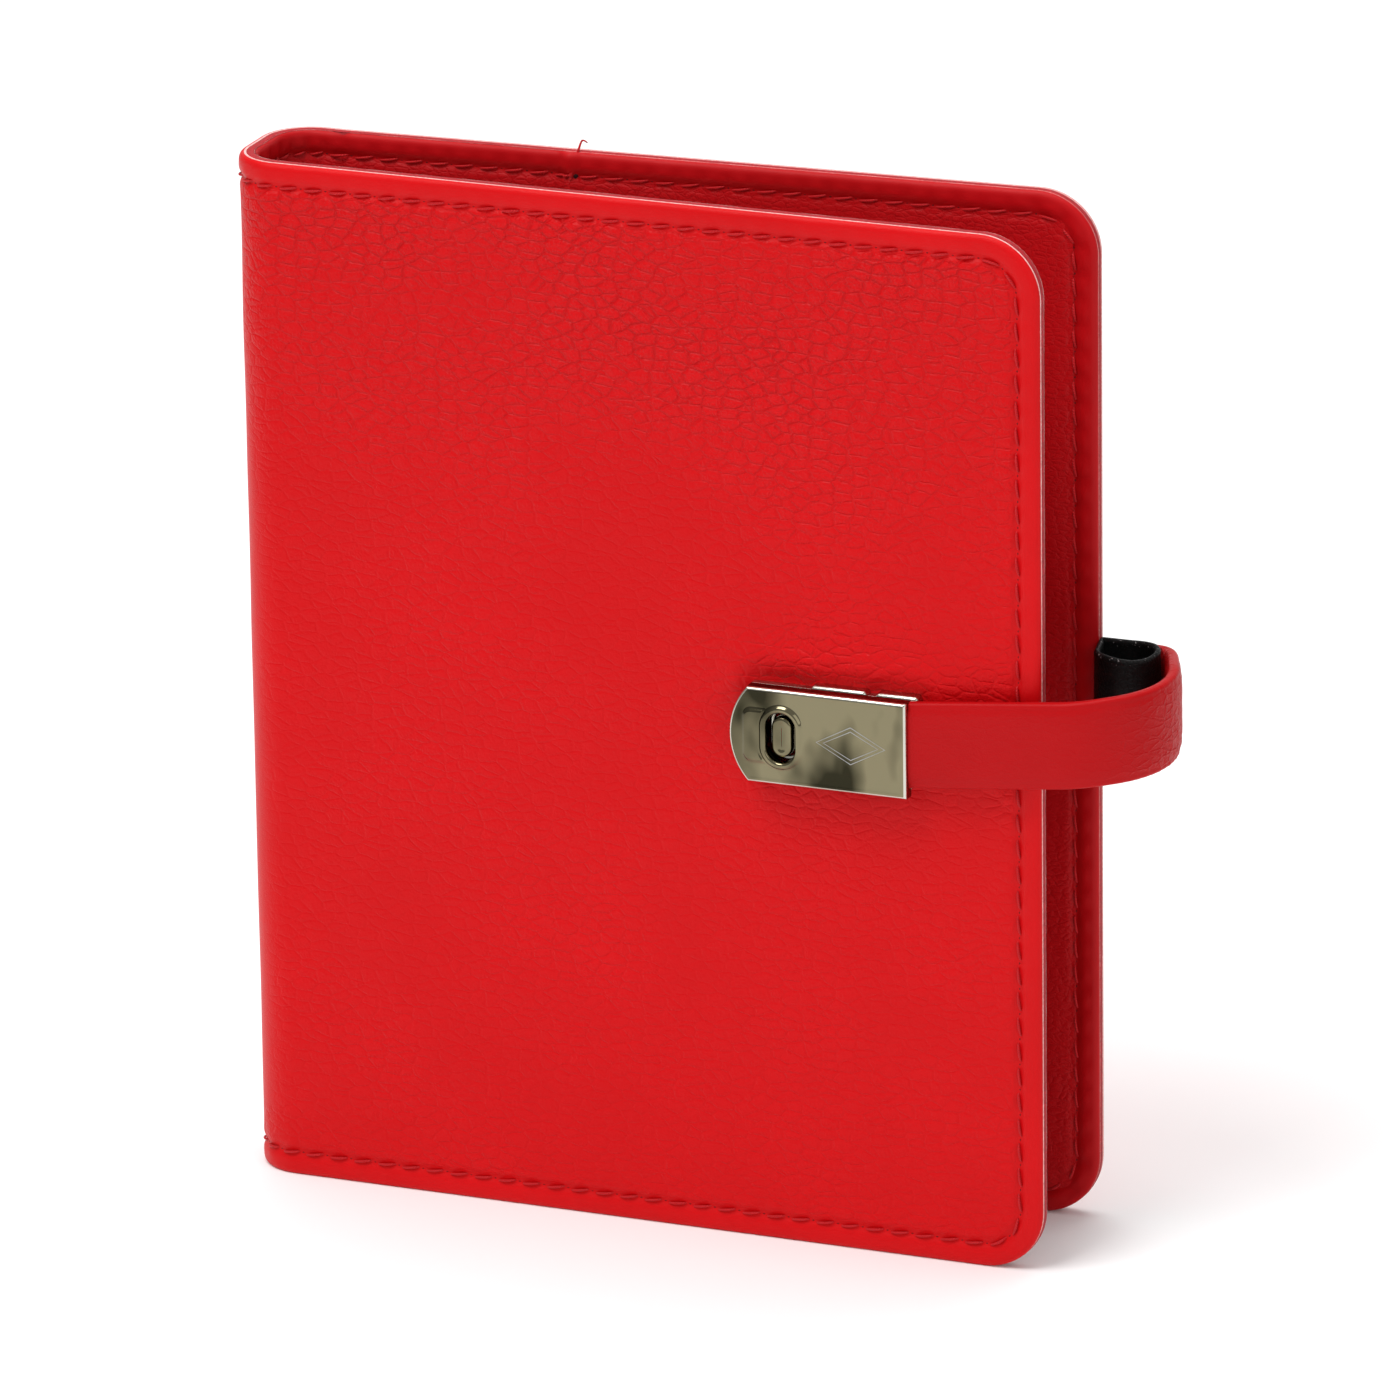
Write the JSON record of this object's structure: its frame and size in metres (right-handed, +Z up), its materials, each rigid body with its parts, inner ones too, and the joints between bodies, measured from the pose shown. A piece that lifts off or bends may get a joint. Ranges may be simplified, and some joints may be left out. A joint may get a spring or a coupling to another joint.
{
  "type": "pocket notebook",
  "caption": "Pocket ring organiser in grained faux leather, slightly open, held by a wrap-round strap with a push-button lock, with a pen loop and punched pages.",
  "frame": {"origin": "centre of the bounding box at the bottom, where the covers stand", "axes": "+Z up along the spine, +X from the spine to the open edge and strap, +Y from the front cover to the back cover"},
  "size_m": [0.1328, 0.0322, 0.145],
  "materials": {
    "red_leather": "pebble-grained, semi-gloss",
    "red_lining": "fine grain, satin",
    "red_welt": "cut edge, matt",
    "board": "matt",
    "nickel": "polished",
    "steel": "bright zinc",
    "black_elastic": "ribbed weave",
    "paper": "matt"
  },
  "bodies": {
    "spine": {"spine_skin": "red_leather", "spine_board": "board", "spine_lining": "red_lining", "spine_edge_welt": "red_welt", "ring_rail": "nickel", "rail_rivets": "nickel", "lever_pins": "steel"},
    "front_cover": {"front_cover_skin": "red_leather", "front_cover_board": "board", "front_edge_welt": "red_welt", "front_cover_lining": "red_lining", "front_card_pocket": "red_lining", "lock_base": "nickel", "lock_backing": "steel", "button_spring": "steel"},
    "back_cover": {"back_cover_skin": "red_leather", "back_cover_board": "board", "back_edge_welt": "red_welt", "back_cover_lining": "red_lining", "back_pocket": "red_lining", "pen_loop": "black_elastic", "strap_root_leather": "red_leather", "strap_root_lining": "red_lining"},
    "front_pages": {"front_pages": "paper"},
    "back_pages": {"back_pages": "paper"},
    "ring_front": {"ring_carrier_front": "steel", "ring_wires_front": "nickel"},
    "ring_back": {"ring_carrier_back": "steel", "ring_wires_back": "nickel"},
    "lever_top": {"lever_top": "nickel"},
    "lever_bottom": {"lever_bottom": "nickel"},
    "strap_shoulder": {"strap_shoulder_leather": "red_leather", "strap_shoulder_lining": "red_lining"},
    "strap_bend": {"strap_bend_leather": "red_leather", "strap_bend_lining": "red_lining"},
    "strap_front": {"strap_front_leather": "red_leather", "strap_front_lining": "red_lining", "lock_plate": "nickel", "lock_clamp": "steel", "lock_rivets": "steel"},
    "lock_button": {"lock_button": "nickel"}
  },
  "joints": [
    {"name": "front_cover_open", "type": "hinge", "parent": "spine", "child": "front_cover", "pos_m": [-0.05663, -0.01009, 0.0725], "axis": [0, 0, -1], "range_deg": [0, 40]},
    {"name": "back_cover_open", "type": "hinge", "parent": "spine", "child": "back_cover", "pos_m": [-0.05663, 0.00691, 0.0725], "axis": [0, 0, 1], "range_deg": [0, 30]},
    {"name": "front_pages_turn", "type": "hinge", "parent": "spine", "child": "front_pages", "pos_m": [-0.05683, -0.00159, 0.0725], "axis": [0, 0, -1], "range_deg": [0, 36]},
    {"name": "back_pages_turn", "type": "hinge", "parent": "spine", "child": "back_pages", "pos_m": [-0.05683, -0.00159, 0.0725], "axis": [0, 0, 1], "range_deg": [0, 26]},
    {"name": "ring_front_open", "type": "hinge", "parent": "spine", "child": "ring_front", "pos_m": [-0.06237, -0.00484, 0.0725], "axis": [0, 0, -1], "range_deg": [0, 10]},
    {"name": "ring_back_open", "type": "hinge", "parent": "spine", "child": "ring_back", "pos_m": [-0.06237, 0.00166, 0.0725], "axis": [0, 0, 1], "range_deg": [0, 10]},
    {"name": "lever_top_press", "type": "hinge", "parent": "spine", "child": "lever_top", "pos_m": [-0.06208, -0.00159, 0.1323], "axis": [0, -1, 0], "range_deg": [0, 8]},
    {"name": "lever_bottom_press", "type": "hinge", "parent": "spine", "child": "lever_bottom", "pos_m": [-0.06208, -0.00159, 0.0127], "axis": [0, 1, 0], "range_deg": [0, 8]},
    {"name": "strap_shoulder_flex", "type": "hinge", "parent": "back_cover", "child": "strap_shoulder", "pos_m": [0.0528, 0.015, 0.0754], "axis": [0, 0, 1], "range_deg": [0, 60], "deforming": ["strap_shoulder_leather", "strap_shoulder_lining"]},
    {"name": "strap_bend_flex", "type": "hinge", "parent": "strap_shoulder", "child": "strap_bend", "pos_m": [0.0645, 0.00249, 0.0778], "axis": [0, 0, 1], "range_deg": [0, 136], "deforming": ["strap_bend_leather", "strap_bend_lining"]},
    {"name": "strap_front_flex", "type": "hinge", "parent": "strap_bend", "child": "strap_front", "pos_m": [0.06011, -0.01189, 0.07714], "axis": [0, 0, 1], "range_deg": [0, 60], "deforming": ["strap_front_leather", "strap_front_lining"]},
    {"name": "lock_button_press", "type": "slide", "parent": "front_cover", "child": "lock_button", "axis": [0, 1, 0], "range_m": [0, 0.00185], "stiffness_N_per_m": 300, "springref_m": -0.001, "deforming": ["button_spring"]}
  ],
  "couplings": [
    {"joint": "back_cover_open", "follows": "front_cover_open", "ratio": 0.75},
    {"joint": "front_pages_turn", "follows": "front_cover_open", "ratio": 0.9},
    {"joint": "back_pages_turn", "follows": "front_cover_open", "ratio": 0.65},
    {"joint": "strap_shoulder_flex", "follows": "front_cover_open", "ratio": 1.5},
    {"joint": "strap_bend_flex", "follows": "front_cover_open", "ratio": 3.4},
    {"joint": "strap_front_flex", "follows": "front_cover_open", "ratio": 1.5},
    {"joint": "ring_back_open", "follows": "ring_front_open", "ratio": 1},
    {"joint": "lever_top_press", "follows": "ring_front_open", "ratio": 0.8},
    {"joint": "lever_bottom_press", "follows": "ring_front_open", "ratio": 0.8}
  ]
}
